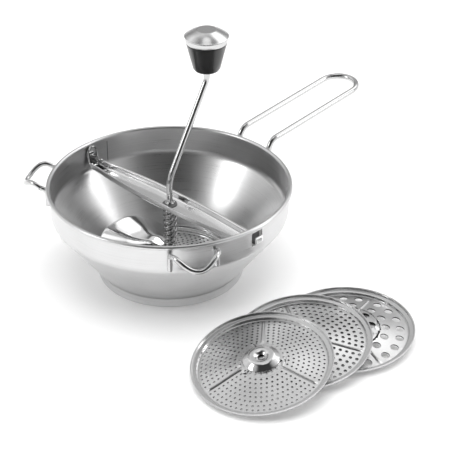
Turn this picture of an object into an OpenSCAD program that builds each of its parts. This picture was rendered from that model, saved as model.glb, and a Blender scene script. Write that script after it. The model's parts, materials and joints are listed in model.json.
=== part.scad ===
// Rotary food mill: open bowl, lift-out cross bar, sprung crank with a blade, and perforated discs.
// X runs towards the long handle, Y towards the finger tab of the cross bar, Z up.
// The origin is the centre of the foot, on the surface that it stands on.

/* [Bowl] */
// Outer diameter over the rolled rim
rim_d = 240; // [210:1:300]
// Height of the bowl, from the table to the top of the rim
bowl_h = 98; // [85:0.5:130]
// Height at which the straight band meets the cone
crease_h = 68.4; // [58:0.1:80]
// Thickness of the bowl sheet
wall = 1; // [0.8:0.1:1.6]
// Radius of the rolled rim bead
bead_r = 2.2; // [1.6:0.1:3]
// Radius of the bend between the band and the cone
shoulder_r = 14; // [6:1:20]
// Height of the foot ring
foot_h = 9.5; // [7:0.5:16]
// Thickness of the foot ring sheet
foot_t = 1.2; // [0.8:0.1:2]
// Height of the ledge that the disc lies on
seat_h = 4; // [3:0.5:6]
// Width of that ledge under the disc
seat_w = 5; // [3:0.5:8]

/* [Discs] */
// Outer diameter of every disc
disc_d = 130; // [108:1:156]
// Height of a disc's upturned rim
disc_rim_h = 6; // [3:0.5:8]
// Width of the plain band between the holes and the edge
disc_band = 7; // [5:0.5:9]
// Thickness of the disc sheet
disc_t = 1; // [0.8:0.1:1.4]
// Rise of the perforated face from the rim to the hub
dome_h = 7.6; // [5:0.1:10]
// Height of the hub above the perforated face
hub_h = 4; // [3:0.5:6]
// Radius at the foot of the hub
hub_foot_r = 17.5; // [15:0.5:22]
// Radius of the flat top of the hub
hub_top_r = 11.5; // [9:0.5:14]
// Diameter of the centre hole in every disc
pivot_hole_d = 8; // [6:0.5:10]
// Hole diameter of the disc in the bowl
bowl_hole_d = 2.4; // [1:0.1:3]
// Hole diameter of the fine spare disc
fine_hole_d = 2; // [1:0.1:3]
// Hole diameter of the medium spare disc
medium_hole_d = 3.2; // [2:0.1:4]
// Hole diameter of the coarse spare disc
coarse_hole_d = 8; // [6:0.5:9]

/* [Handle and hooks] */
// Diameter of the handle rod
handle_rod_d = 6; // [5:0.5:8]
// Distance between the handle's two rods, centre to centre
handle_span = 40; // [28:1:50]
// Reach of the handle beyond the rim
handle_reach = 155; // [110:1:190]
// Rise of the handle above the horizontal, in degrees
handle_rise = 4.7; // [0:1:15]
// Inside radius of the bend where the handle leaves the bowl
handle_bend_r = 9; // [7:0.5:14]
// Diameter of the pot hook wire
hook_wire_d = 5; // [3.5:0.5:6]
// Distance between the legs of a pot hook, centre to centre
hook_span = 44; // [34:1:56]
// Reach of a pot hook beyond the band
hook_reach = 28; // [22:1:36]
// Direction of the pot hooks from the handle, in degrees
hook_az = 123.7; // [100:0.1:150]

/* [Cross bar] */
// Width of the cross bar at the shaft
bar_w = 25; // [18:0.5:30]
// Width of the cross bar at its ends
bar_end_w = 15; // [13:0.5:18]
// Height of the cross bar's floor above the table
bar_floor_h = 72; // [70:0.5:76]
// Height of the cross bar's side flanges
flange_h = 8; // [6:0.5:12]
// Thickness of the cross bar sheet
bar_t = 1.2; // [1:0.1:2]
// Width of the finger tab
tab_w = 13; // [10:0.5:13]
// Height of the finger tab above the cross bar's floor
tab_h = 23; // [16:0.5:24]
// Width of the tongue that hooks through the band
tongue_w = 8; // [6:0.5:10]
// Width of the window in the band
window_w = 14; // [12:0.5:18]
// Height of the window in the band
window_h = 14; // [12:0.5:15]

/* [Shaft and blade] */
// Diameter of the crank rod
rod_d = 6; // [5:0.5:8]
// Sideways offset of the knob from the shaft
crank_throw = 53; // [35:0.1:70]
// Radius of the crank's lower bend
crank_low_r = 30; // [14:1:36]
// Radius of the crank's upper bend
crank_high_r = 16; // [12:1:24]
// Height of the crank's lower bend above the table
crank_low_h = 100; // [94:1:110]
// Height of the crank's upper bend above the table
crank_top_h = 190; // [170:1:210]
// Outer radius of the blade
blade_r = 58; // [50:1:59]
// Thickness of the blade sheet
blade_t = 1.2; // [1:0.1:2]
// Height of the blade's leading corner above its low edge
blade_lift = 31; // [24:1:36]
// Radius of the blade hub
blade_hub_r = 9; // [8:0.5:11]
// Height of the blade hub
blade_hub_h = 6; // [5:0.5:8]
// Mean diameter of the coil spring
spring_d = 12; // [11:0.5:14]
// Wire diameter of the coil spring
spring_wire_d = 1.8; // [1:0.1:2]
// Number of turns of the coil spring
spring_turns = 7; // [5:1:9]

/* [Knob] */
// Diameter of the knob at its foot
knob_foot_d = 25; // [20:0.5:30]
// Diameter of the knob at its top
knob_top_d = 39.6; // [32:0.2:44]
// Height of the knob body
knob_h = 29.5; // [24:0.5:36]
// Diameter of the bright ring on top of the knob
ring_d = 42.7; // [42:0.1:50]
// Height of the bright ring
ring_h = 5.5; // [4:0.5:8]
// Height of the domed cap above the ring
cap_h = 9; // [5:0.5:12]
// Diameter of the flat on the cap
cap_flat_d = 20; // [14:1:24]

/* [Fits] */
// Radial clearance of every turning or sliding fit
run_gap = 0.05; // [0.03:0.01:0.1]
// Face clearance between pieces that turn past each other
face_gap = 0.3; // [0.2:0.1:0.6]
// Radial clearance of a disc in its seat
seat_gap = 2; // [0.8:0.1:3]
// Clearance between the cross bar's end and the band
end_gap = 0.8; // [0.6:0.1:1.5]

/* [Hidden] */
$fn = 64;

// Bowl: the cone runs from beside the seat up to the band
rim_r = rim_d / 2;
bead_z = bowl_h - bead_r;
band_in = rim_r - 2 * bead_r;
band_out = band_in + wall;
disc_r = disc_d / 2;
face_r = disc_r - disc_band;
hub_top_h = disc_t + dome_h + hub_h;
cone_in = disc_r + seat_gap;
seat_t = 1.2;
seat_low = seat_h - seat_t;
cone_run = band_out - cone_in;
cone_rise = crease_h - seat_h;
// The sheet's width across its slope
slant_wall = wall / cos(atan2(cone_run - wall, cone_rise));
function cone_out_r(z) = band_out - (crease_h - z) * (band_out - cone_in - slant_wall) / cone_rise;
function cone_in_r(z) = cone_out_r(z) - slant_wall;
foot_r = cone_out_r(foot_h);
shoulder_a = atan2(band_out - cone_out_r(seat_h), cone_rise);
shoulder_z = crease_h + shoulder_r * tan(shoulder_a / 2);

// Rods lie against the sheet that they are welded to
weld_gap = 0.02;

// Cross bar
bar_end = band_in - end_gap;
tongue_z = bar_floor_h + 6;
window_low = tongue_z - 1;
tilt_y = -(band_in + wall / 2);
bush_r = rod_d / 2 + 2.5;
bush_flange_r = bush_r + 2;
bush_flange_t = 1;

// Latch
latch_w = 8;
latch_t = 0.6;
latch_nose_r = 2;
latch_y = bar_end - bar_t - latch_t - 2;
latch_nose_z = bar_floor_h + 11;
latch_rivet_y = latch_y - 16;
catch_gap = 0.6;

// Shaft
rod_r = rod_d / 2;
disc_hub_top = seat_h + hub_top_h;
hub_low = disc_hub_top + face_gap + 0.7;
hub_top = hub_low + blade_hub_h;
washer_t = 1;
spring_low = hub_top + washer_t;
spring_cup_t = 1.5;
spring_top = bar_floor_h - spring_cup_t;
tip_r = pivot_hole_d / 2 - run_gap;
tip_drop = 2.6;
knob_foot = crank_top_h + crank_high_r * 0.6;
rod_top = knob_foot + knob_h - 6;
sleeve_r = rod_r + 2.2;

// Spare discs, each leaning on the next: where their centres stand and how far they tilt
coarse_at = [29.5, -203];
medium_at = coarse_at + [-0.37 * disc_d, 11];
fine_at = medium_at + [-0.4 * disc_d, 1.2];
coarse_tilt = 3;
medium_tilt = coarse_tilt + asin(0.935 * hub_top_h / disc_d);
fine_tilt = medium_tilt + asin(0.54 * hub_top_h / disc_d);

// ---------- shared shapes ----------

// Points of an arc about a centre
function arc(cx, cz, r, from, to, n = 8) =
    [for (i = [0:n]) let (a = from + (to - from) * i / n) [cx + r * cos(a), cz + r * sin(a)]];

module tube(r_out, r_in, z0, z1) {
    difference() {
        translate([0, 0, z0]) cylinder(r = r_out, h = z1 - z0);
        translate([0, 0, z0 - 1]) cylinder(r = r_in, h = z1 - z0 + 2);
    }
}

// A tube swept along a list of points, closed at both ends; its rings are carried along without twist
function unit(v) = v / norm(v);
function square_to(v, along) = unit(v - (v * along) * along);
function carry(along, i = 0, last = [1, 0.1, 0]) = i == len(along) ? [] :
    let (now = square_to(last, along[i])) concat([now], carry(along, i + 1, now));
module sweep(path, r, sides) {
    n = len(path);
    along = [for (i = [0:n - 1]) unit(path[min(i + 1, n - 1)] - path[max(i - 1, 0)])];
    across = carry(along);
    points = [for (i = [0:n - 1]) let (s = across[i], u = cross(s, along[i]))
        for (k = [0:sides - 1]) path[i] + r * (cos(360 * k / sides) * s + sin(360 * k / sides) * u)];
    faces = concat(
        [[for (k = [sides - 1:-1:0]) k]],
        [for (i = [0:n - 2]) for (k = [0:sides - 1]) let (a = i * sides + k, b = i * sides + (k + 1) % sides)
            [a, b, b + sides, a + sides]],
        [[for (k = [0:sides - 1]) (n - 1) * sides + k]]);
    polyhedron(points, faces);
}

// ---------- bowl ----------

module bowl_shell() color("gainsboro") {
    outer = concat([[cone_out_r(seat_low), seat_low]],
        arc(band_out - shoulder_r, shoulder_z, shoulder_r, -shoulder_a, 0), [[band_out, bead_z]]);
    inner = concat([[band_in, bead_z]],
        arc(band_out - shoulder_r, shoulder_z, shoulder_r - wall, 0, -shoulder_a),
        [[cone_in_r(seat_low), seat_low]]);
    difference() {
        rotate_extrude($fn = 128) {
            polygon(concat(outer, inner));
            translate([rim_r - bead_r, bead_z]) circle(r = bead_r, $fn = 24);
        }
        translate([-window_w / 2, -rim_r, window_low]) cube([window_w, rim_r / 2, window_h]);
        translate([0, band_in - 3, latch_nose_z]) rotate([-90, 0, 0])
            cylinder(r = latch_nose_r + catch_gap, h = wall + 6);
    }
}

module foot_ring() color("gainsboro") rotate_extrude($fn = 128) {
    lip = 3 + foot_t;
    polygon([
        [foot_r - lip, 0], [foot_r, 0], [foot_r, foot_h],
        [foot_r - foot_t, foot_h - foot_t / tan(shoulder_a)],
        [foot_r - foot_t, foot_t], [foot_r - lip, foot_t]]);
}

module seat_ring() color("gainsboro") rotate_extrude($fn = 128)
    polygon([
        [disc_r - seat_w, seat_low], [cone_in_r(seat_low), seat_low],
        [cone_in_r(seat_h), seat_h], [disc_r - seat_w, seat_h]]);

// ---------- handle ----------

handle_x = sqrt(pow(rim_r + handle_rod_d / 2 + weld_gap, 2) - pow(handle_span / 2, 2));
handle_low = crease_h + 5;
handle_up = bowl_h - 6;
handle_axis_r = handle_bend_r + handle_rod_d / 2;
handle_end_x = rim_r + handle_reach - handle_rod_d / 2;
function handle_z(x) = handle_up + handle_axis_r * cos(handle_rise)
    + (x - handle_x - handle_axis_r * (1 - sin(handle_rise))) * tan(handle_rise);
function handle_side(s) = concat(
    [[handle_x, s * handle_span / 2, handle_low]],
    [for (p = arc(handle_x + handle_axis_r, handle_up, handle_axis_r, 180, 90 + handle_rise, 7))
        [p[0], s * handle_span / 2, p[1]]]);
handle_end = [for (i = [0:16]) let (a = 90 - 180 * i / 16,
        x = handle_end_x - handle_span / 2 + handle_span / 2 * cos(a))
    [x, handle_span / 2 * sin(a), handle_z(x)]];
handle_path = let (near = handle_side(-1))
    concat(handle_side(1), handle_end, [for (i = [len(near) - 1:-1:0]) near[i]]);

module handle_loop() color("silver") sweep(handle_path, handle_rod_d / 2, 16);

module handle_saddle() color("silver") {
    half = handle_span / 2 + 7;
    reach = atan2(half, rim_r);
    low = crease_h + 5;
    high = bead_z - bead_r - 1;
    rotate(-reach) rotate_extrude(angle = 2 * reach, $fn = 128)
        translate([band_out, low]) square([rim_r - band_out, high - low]);
}

// ---------- pot hooks ----------

// Centre line of a hook: up the band, out over a low crest, round the loop and back
hook_leg_x = sqrt(pow(band_out + hook_wire_d / 2 + weld_gap, 2) - pow(hook_span / 2, 2));
hook_low = crease_h + 4;
hook_neck = bead_z - 11;
hook_bend = 6;
hook_loop = hook_span / 2;
hook_out = band_out + hook_reach;
hook_crest = 6;
hook_straight = hook_out - hook_loop - hook_leg_x - hook_bend;
function hook_z(x) = let (u = (x - hook_leg_x - hook_bend) / (hook_out - hook_leg_x - hook_bend))
    hook_neck + hook_bend + hook_crest * sin(150 * u) - 8.5 * u * u;
function hook_side(s) = concat(
    [[hook_leg_x, s * hook_span / 2, hook_low]],
    [for (i = [0:5]) let (a = 90 * i / 5)
        [hook_leg_x + hook_bend * (1 - cos(a)), s * hook_span / 2, hook_neck + hook_bend * sin(a)]],
    [for (i = [1:2]) let (x = hook_leg_x + hook_bend + hook_straight * i / 3)
        [x, s * hook_span / 2, hook_z(x)]]);
hook_turn = [for (i = [0:20]) let (a = 90 - 9 * i, x = hook_out - hook_loop + hook_loop * cos(a))
    [x, hook_loop * sin(a), hook_z(x)]];
hook_path = let (far = hook_side(1), near = hook_side(-1))
    concat(far, hook_turn, [for (i = [len(near) - 1:-1:0]) near[i]]);

module pot_hook() color("silver") sweep(hook_path, hook_wire_d / 2, 12);
module pot_hook_left() rotate(hook_az) pot_hook();
module pot_hook_right() rotate(-hook_az) pot_hook();

// ---------- cross bar ----------

module bar_outline(inset) {
    middle = bar_w / 2 - inset;
    narrow = bar_end_w / 2 - inset;
    shoulder_y = 30;
    foot_y = bar_end - 6;
    polygon([
        [narrow, -foot_y], [middle, -shoulder_y], [middle, shoulder_y], [narrow, foot_y],
        [-narrow, foot_y], [-middle, shoulder_y], [-middle, -shoulder_y], [-narrow, -foot_y]]);
}

module cross_bar() color("silver") {
    step_y = bar_end - 6;
    difference() {
        union() {
            // folded channel
            translate([0, 0, bar_floor_h]) linear_extrude(bar_t) bar_outline(0);
            translate([0, 0, bar_floor_h]) linear_extrude(flange_h)
                difference() {
                    bar_outline(0);
                    bar_outline(bar_t);
                    translate([-tab_w / 2, -rim_r]) square([tab_w, 2 * rim_r]);
                }
            // floor carried on to the finger tab
            translate([-tab_w / 2, step_y - 1, bar_floor_h])
                cube([tab_w, bar_end - step_y + 1, bar_t]);
            // finger tab with a round top
            translate([0, bar_end, bar_floor_h]) rotate([90, 0, 0]) linear_extrude(bar_t) {
                translate([-tab_w / 2, 0]) square([tab_w, tab_h - tab_w / 2]);
                translate([0, tab_h - tab_w / 2]) circle(d = tab_w);
            }
            // step up to the tongue, the tongue through the window, and its upturned lip
            translate([-tongue_w / 2, -step_y - bar_t, bar_floor_h])
                cube([tongue_w, 2 * bar_t, tongue_z - bar_floor_h + bar_t]);
            translate([-tongue_w / 2, -(band_out + 3), tongue_z])
                cube([tongue_w, band_out + 3 - step_y, bar_t]);
            translate([-tongue_w / 2, -(band_out + 3), tongue_z])
                cube([tongue_w, bar_t, 9]);
        }
        translate([0, 0, bar_floor_h - 1]) cylinder(r = bush_r, h = bar_t + 2);
        translate([0, latch_rivet_y, bar_floor_h - 1]) cylinder(r = 1.5, h = bar_t + 2);
        // slot that lets the latch's nose reach the band
        translate([-latch_nose_r - 1, bar_end - bar_t - 1, latch_nose_z - latch_nose_r - 1])
            cube([2 * latch_nose_r + 2, bar_t + 2, 2 * latch_nose_r + 4]);
    }
}

module latch_rivet() color("silver") translate([0, latch_rivet_y, 0]) {
    translate([0, 0, bar_floor_h - 1]) cylinder(r = 2.6, h = 1);
    translate([0, 0, bar_floor_h]) cylinder(r = 1.5, h = bar_t + latch_t);
    translate([0, 0, bar_floor_h + bar_t + latch_t]) cylinder(r = 2.6, h = 1);
}

module latch_spring() color("silver") difference() {
    floor_z = bar_floor_h + bar_t;
    union() {
        translate([-latch_w / 2, latch_rivet_y - 6, floor_z])
            cube([latch_w, latch_y + latch_t - latch_rivet_y + 6, latch_t]);
        translate([-latch_w / 2, latch_y, floor_z]) cube([latch_w, latch_t, 14]);
        translate([0, latch_y + latch_t - 0.1, latch_nose_z]) rotate([-90, 0, 0])
            cylinder(r1 = latch_nose_r, r2 = latch_nose_r - 0.4, h = band_in + 0.5 - latch_y - latch_t + 0.1);
    }
    translate([0, latch_rivet_y, floor_z - 1]) cylinder(r = 1.5, h = latch_t + 2);
}

module shaft_bushing() color("dimgray") difference() {
    union() {
        translate([0, 0, bar_floor_h]) cylinder(r = bush_r, h = bar_t);
        translate([0, 0, bar_floor_h + bar_t]) cylinder(r = bush_flange_r, h = bush_flange_t);
    }
    translate([0, 0, bar_floor_h - 1]) cylinder(r = rod_r + run_gap, h = bar_t + bush_flange_t + 2);
}

module spring_cup() color("silver")
    tube(spring_d / 2 + 2, rod_r + run_gap + 0.25, bar_floor_h - spring_cup_t, bar_floor_h);

module coil_spring() color("gray") {
    low = spring_low + spring_wire_d / 2 + 0.1;
    high = spring_top - spring_wire_d / 2 - 0.1;
    per_turn = 14;
    steps = spring_turns * per_turn;
    sweep([for (i = [0:steps]) let (a = 360 * i / per_turn)
        [spring_d / 2 * cos(a), spring_d / 2 * sin(a), low + (high - low) * i / steps]],
        spring_wire_d / 2, 6);
}

// ---------- shaft, crank and blade ----------

module thrust_washer() color("silver")
    tube(spring_d / 2 + 2, rod_r + run_gap + 0.25, hub_top + 0.05, spring_low);

crank_rise = crank_top_h - crank_low_h;
crank_lean = atan2(crank_rise, crank_throw);
crank_turn = 90 - crank_lean;
crank_low_end = [0, crank_low_h - crank_low_r * tan(crank_turn / 2)];
crank_high_end = [crank_throw, crank_top_h + crank_high_r * tan(crank_turn / 2)];

// Centre line of the bent rod between its two straight ends
crank_path = [for (p = concat(
        arc(crank_low_r, crank_low_end[1], crank_low_r, 180, 180 - crank_turn, 8),
        arc(crank_throw - crank_high_r, crank_high_end[1], crank_high_r, -crank_turn, 0, 8)))
    [p[0], 0, p[1]]];

module shaft() color("lightgray") difference() {
    translate([0, 0, hub_low]) cylinder(r = rod_r, h = crank_low_end[1] - hub_low);
    translate([0, 0, (hub_low + hub_top) / 2]) rotate([90, 0, 0])
        cylinder(r = 1, h = 2 * rod_d, center = true);
}

module crank_arm() color("lightgray") sweep(crank_path, rod_r, 20);

module knob_spindle() color("lightgray")
    translate([crank_throw, 0, crank_high_end[1]]) cylinder(r = rod_r, h = rod_top - crank_high_end[1]);

// Ring crimped on the rod above the bushing, which stops the spring from pushing the shaft out
module retaining_ring() color("silver") {
    low = bar_floor_h + bar_t + bush_flange_t + 0.1;
    tube(rod_r + 1.8, rod_r, low, low + 1.4);
}

module blade_hub() color("silver") difference() {
    translate([0, 0, hub_low]) cylinder(r = blade_hub_r, h = blade_hub_h);
    translate([0, 0, hub_low - 1]) cylinder(r = rod_r, h = blade_hub_h + 2);
    translate([0, 0, (hub_low + hub_top) / 2]) rotate([90, 0, 0])
        cylinder(r = 1, h = 3 * blade_hub_r, center = true);
}

module drive_pin() color("silver")
    translate([0, 0, (hub_low + hub_top) / 2]) rotate([90, 0, 0])
        cylinder(r = 1, h = 2 * blade_hub_r - 0.6, center = true);

// Blunt cone on which the shaft turns in the disc's centre hole
module pivot_tip() color("silver") {
    sheet_top = disc_hub_top;
    translate([0, 0, sheet_top]) cylinder(r = tip_r, h = hub_low - sheet_top);
    translate([0, 0, sheet_top - tip_drop])
        cylinder(r1 = tip_r - tip_drop * tan(50), r2 = tip_r, h = tip_drop);
}

// Blade: a quarter turn of sheet that skims the disc, climbs, widens, and turns down in front
blade_start = 45;
blade_span = 92;
blade_skim = 1;
function disc_face(r) =
    seat_h + disc_t + dome_h * max(0, min(1, (face_r - r) / (face_r - hub_foot_r)));
blade_crest = 0.6;
blade_fold = 0.8;
blade_nose = 0.3;
blade_flare = 14;
function climb(t) = sin(90 * min(1, t / blade_crest))
    - blade_nose * pow(max(0, (t - blade_fold) / (1 - blade_fold)), 2);
function blade_share(r) = (r - blade_hub_r) / (blade_r - blade_hub_r);
function blade_reach(r, t) =
    r + blade_flare * pow(blade_share(r), 2) * pow(max(0, (t - 0.45) / 0.55), 1.3);
function blade_low(r) = r < hub_foot_r + 1
    ? disc_hub_top + face_gap + 0.7
    : max(disc_face(r) + blade_skim,
        disc_hub_top + face_gap + 0.7 - (r - hub_foot_r - 1) * 0.5);
function blade_z(r, t) = blade_low(r)
    + climb(t) * (blade_hub_h - blade_t + blade_share(r) * (blade_lift - blade_hub_h));

blade_steps = 24;
blade_rows = [blade_hub_r + 0.02, 14, hub_foot_r + 1, 24, 32, 42, blade_r - 6, blade_r];
blade_cols = len(blade_rows);
blade_count = (blade_steps + 1) * blade_cols;
function blade_id(i, j) = i * blade_cols + j;
function blade_face(up) = [for (i = [0:blade_steps]) for (r = blade_rows)
    let (t = i / blade_steps, a = blade_start + blade_span * t, reach = blade_reach(r, t))
    [reach * cos(a), reach * sin(a), blade_z(r, t) + up]];
// Triangles of the lower face, and of the upper face wound the other way
function blade_skin(from, flip) = [for (i = [0:blade_steps - 1]) for (j = [0:blade_cols - 2])
    let (a = from + blade_id(i, j), b = from + blade_id(i, j + 1),
        c = from + blade_id(i + 1, j + 1), d = from + blade_id(i + 1, j))
    each (flip ? [[a, c, b], [a, d, c]] : [[a, b, c], [a, c, d]])];
// Quads that close the sheet along its inner edge, outer edge and two ends
function blade_edge(a, b) = [a, b, blade_count + b, blade_count + a];
blade_rim = [
    for (i = [0:blade_steps - 1]) blade_edge(blade_id(i, 0), blade_id(i + 1, 0)),
    for (i = [0:blade_steps - 1])
        blade_edge(blade_id(i + 1, blade_cols - 1), blade_id(i, blade_cols - 1)),
    for (j = [0:blade_cols - 2]) blade_edge(blade_id(0, j + 1), blade_id(0, j)),
    for (j = [0:blade_cols - 2]) blade_edge(blade_id(blade_steps, j), blade_id(blade_steps, j + 1))];

module blade() color("whitesmoke")
    polyhedron(concat(blade_face(0), blade_face(blade_t)),
        concat(blade_skin(0, false), blade_skin(blade_count, true), blade_rim));

// ---------- knob ----------

module at_knob() translate([crank_throw, 0, 0]) children();

module knob_stop() color("silver") at_knob()
    tube(rod_r + 2.5, rod_r, knob_foot - face_gap - 1.5, knob_foot - face_gap);

module knob_washer() color("silver") at_knob()
    tube(sleeve_r + 1, rod_r, rod_top - 1.5, rod_top);

module knob_sleeve() color("dimgray") at_knob()
    tube(sleeve_r, rod_r + run_gap, knob_foot + 1, rod_top - 1.5 - face_gap);

module knob_body() color([0.05, 0.05, 0.05]) at_knob() difference() {
    translate([0, 0, knob_foot]) cylinder(d1 = knob_foot_d, d2 = knob_top_d, h = knob_h);
    translate([0, 0, knob_foot - 1]) cylinder(r = sleeve_r, h = knob_h + 2);
    translate([0, 0, rod_top - 1.5 - face_gap]) cylinder(r = sleeve_r + 2, h = knob_h);
}

module knob_ring() color("lightgray") at_knob()
    tube(ring_d / 2, knob_top_d / 2 - 3, knob_foot + knob_h, knob_foot + knob_h + ring_h);

module knob_cap() color("lightgray") at_knob() {
    low = knob_foot + knob_h + ring_h;
    rim = ring_d / 2 - 0.6;
    flat = cap_flat_d / 2;
    // dome: a quarter of an ellipse from the ring to the flat top
    dome = [for (i = [0:8]) let (a = 90 * i / 8)
        [flat + (rim - flat) * cos(a), low + cap_h * sin(a)]];
    rotate_extrude() polygon(concat([[0, low], [rim, low]], [for (i = [1:8]) dome[i]], [[0, low + cap_h]]));
}

// ---------- discs ----------

rib_count = 3;
rib_w = 3;
// Direction of the first rib of each disc
sieve_turn = 60;
fine_turn = 41;
medium_turn = 57;
coarse_turn = 14.5;

// Flat terraces that climb with the face, each with one ring of holes; ribs stay unpierced
module disc(hole_d, rings, spacing) {
    pitch = (face_r - hub_foot_r) / rings;
    function ring_r(i) = hub_foot_r + pitch * (i + 0.5);
    function ring_z(i) = dome_h * (1 - (i + 0.5) / rings);
    for (i = [0:rings - 1]) let (r = ring_r(i), z = ring_z(i), below = i == rings - 1 ? 0 : ring_z(i + 1),
            count = floor(2 * PI * r / spacing)) {
        translate([0, 0, z]) linear_extrude(disc_t) difference() {
            circle(r = r + pitch / 2, $fn = 96);
            circle(r = r - pitch / 2, $fn = 96);
            for (k = [0:count - 1]) let (a = 360 * (k + 0.5 * (i % 2)) / count, part = 360 / rib_count,
                    off = abs(a - part * round(a / part)))
                if (r * sin(off) > (rib_w + hole_d) / 2 + 0.3)
                    rotate(a) translate([r, 0]) circle(d = hole_d, $fn = 16);
        }
        translate([0, 0, below]) linear_extrude(z + disc_t - below) difference() {
            circle(r = r + pitch / 2 + 0.3, $fn = 96);
            circle(r = r + pitch / 2 - 0.3, $fn = 96);
        }
    }
    translate([0, 0, ring_z(0)]) linear_extrude(dome_h + disc_t / 2 - ring_z(0)) difference() {
        circle(r = hub_foot_r + 0.3, $fn = 96);
        circle(r = hub_foot_r - 0.3, $fn = 96);
    }
    rotate_extrude($fn = 96) {
        // upturned rim
        polygon([[face_r, 0], [disc_r, 0], [disc_r, disc_rim_h], [disc_r - disc_t, disc_rim_h],
            [disc_r - disc_t, disc_t], [face_r, disc_t]]);
        // raised hub
        polygon([
            [hub_foot_r + 0.3, dome_h], [hub_foot_r + 0.3, dome_h + disc_t - 0.2],
            [hub_top_r, dome_h + disc_t + hub_h], [pivot_hole_d / 2, dome_h + disc_t + hub_h],
            [pivot_hole_d / 2, dome_h + hub_h], [hub_top_r - disc_t * 0.6, dome_h + hub_h],
            [hub_foot_r - disc_t, dome_h]]);
    }
}

module leaning(at, tilt) {
    // tilts about the disc's low edge, which stays on the table
    translate([at[0] - disc_r, at[1], 0]) rotate([0, -tilt, 0]) translate([disc_r, 0, 0]) children();
}

module sieve_disc() color("lightgray")
    translate([0, 0, seat_h]) rotate(sieve_turn) disc(bowl_hole_d, 8, 5.5);
module spare_disc_fine() color("lightgray")
    leaning(fine_at, fine_tilt) rotate(fine_turn) disc(fine_hole_d, 9, 5);
module spare_disc_medium() color("lightgray")
    leaning(medium_at, medium_tilt) rotate(medium_turn) disc(medium_hole_d, 7, 6.3);
module spare_disc_coarse() color("lightgray")
    leaning(coarse_at, coarse_tilt) rotate(coarse_turn) disc(coarse_hole_d, 3, 15.5);

// ---------- nodes ----------

bowl_shell();
foot_ring();
seat_ring();
handle_loop();
handle_saddle();
pot_hook_left();
pot_hook_right();
cross_bar();
latch_rivet();
latch_spring();
shaft_bushing();
spring_cup();
coil_spring();
thrust_washer();
shaft();
crank_arm();
knob_spindle();
retaining_ring();
blade_hub();
blade();
drive_pin();
pivot_tip();
knob_stop();
knob_washer();
knob_sleeve();
knob_body();
knob_ring();
knob_cap();
sieve_disc();
spare_disc_fine();
spare_disc_medium();
spare_disc_coarse();
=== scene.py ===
"""Finished look of a rotary food mill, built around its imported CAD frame.

Sizes in the classes are millimetres; meshes are made in metres, in the frame's own axes.
"""

import json
import logging
import math
from dataclasses import dataclass, field
from enum import Enum
from typing import Sequence

import bmesh
import bpy
from mathutils import Matrix, Vector

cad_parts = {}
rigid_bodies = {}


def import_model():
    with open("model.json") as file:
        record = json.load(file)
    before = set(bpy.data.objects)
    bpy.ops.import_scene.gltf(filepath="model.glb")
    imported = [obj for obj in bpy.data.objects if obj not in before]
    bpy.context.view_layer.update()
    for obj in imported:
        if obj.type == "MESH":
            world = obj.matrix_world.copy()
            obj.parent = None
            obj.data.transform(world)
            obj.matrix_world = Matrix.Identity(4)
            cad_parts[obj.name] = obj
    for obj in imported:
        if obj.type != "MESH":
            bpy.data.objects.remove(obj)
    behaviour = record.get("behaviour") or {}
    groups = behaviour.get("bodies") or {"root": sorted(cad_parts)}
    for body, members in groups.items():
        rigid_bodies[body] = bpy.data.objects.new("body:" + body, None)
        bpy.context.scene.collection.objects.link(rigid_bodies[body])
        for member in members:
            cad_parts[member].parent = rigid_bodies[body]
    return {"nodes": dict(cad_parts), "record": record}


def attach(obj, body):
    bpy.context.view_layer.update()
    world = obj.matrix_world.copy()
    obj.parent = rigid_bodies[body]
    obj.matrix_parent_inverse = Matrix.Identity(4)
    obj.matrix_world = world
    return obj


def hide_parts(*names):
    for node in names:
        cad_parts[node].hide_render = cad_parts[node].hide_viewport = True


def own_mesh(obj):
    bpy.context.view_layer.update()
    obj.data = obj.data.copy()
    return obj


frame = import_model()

LOG = logging.getLogger("food_mill")
MM = 0.001
WELD_GAP = 0.001
PRESS_RIM = 1
# Face value of the hole walls, which the disc material paints near-black as shade.
PRESS_SHADED_WALL = 2
Profile = Sequence[tuple[float, float]]
Path = Sequence[tuple[float, float, float]]


class Ends(Enum):
    """How a turned shape is closed."""

    LOOP = "loop"
    CAPPED = "capped"


class Grain(Enum):
    """Direction of the fine marks that polishing leaves on a metal."""

    TURNED = "turned"
    LENGTHWISE = "lengthwise"
    DRAWN = "drawn"


def arc(centre: tuple[float, float], radius: float, start: float, stop: float,
        steps: int) -> list[tuple[float, float]]:
    """Points of a flat arc.

    Args:
        centre: Centre of the arc.
        radius: Radius of the arc.
        start: First angle in degrees.
        stop: Last angle in degrees.
        steps: Number of equal steps.

    Returns:
        The points, both ends included.
    """
    angles = [math.radians(start + (stop - start) * i / steps) for i in range(steps + 1)]
    return [(centre[0] + radius * math.cos(a), centre[1] + radius * math.sin(a)) for a in angles]


def eased(low: float, high: float, value: float) -> float:
    """Smooth step of value from 0 at low to 1 at high."""
    share = min(1.0, max(0.0, (value - low) / (high - low)))
    return share * share * (3 - 2 * share)


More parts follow.
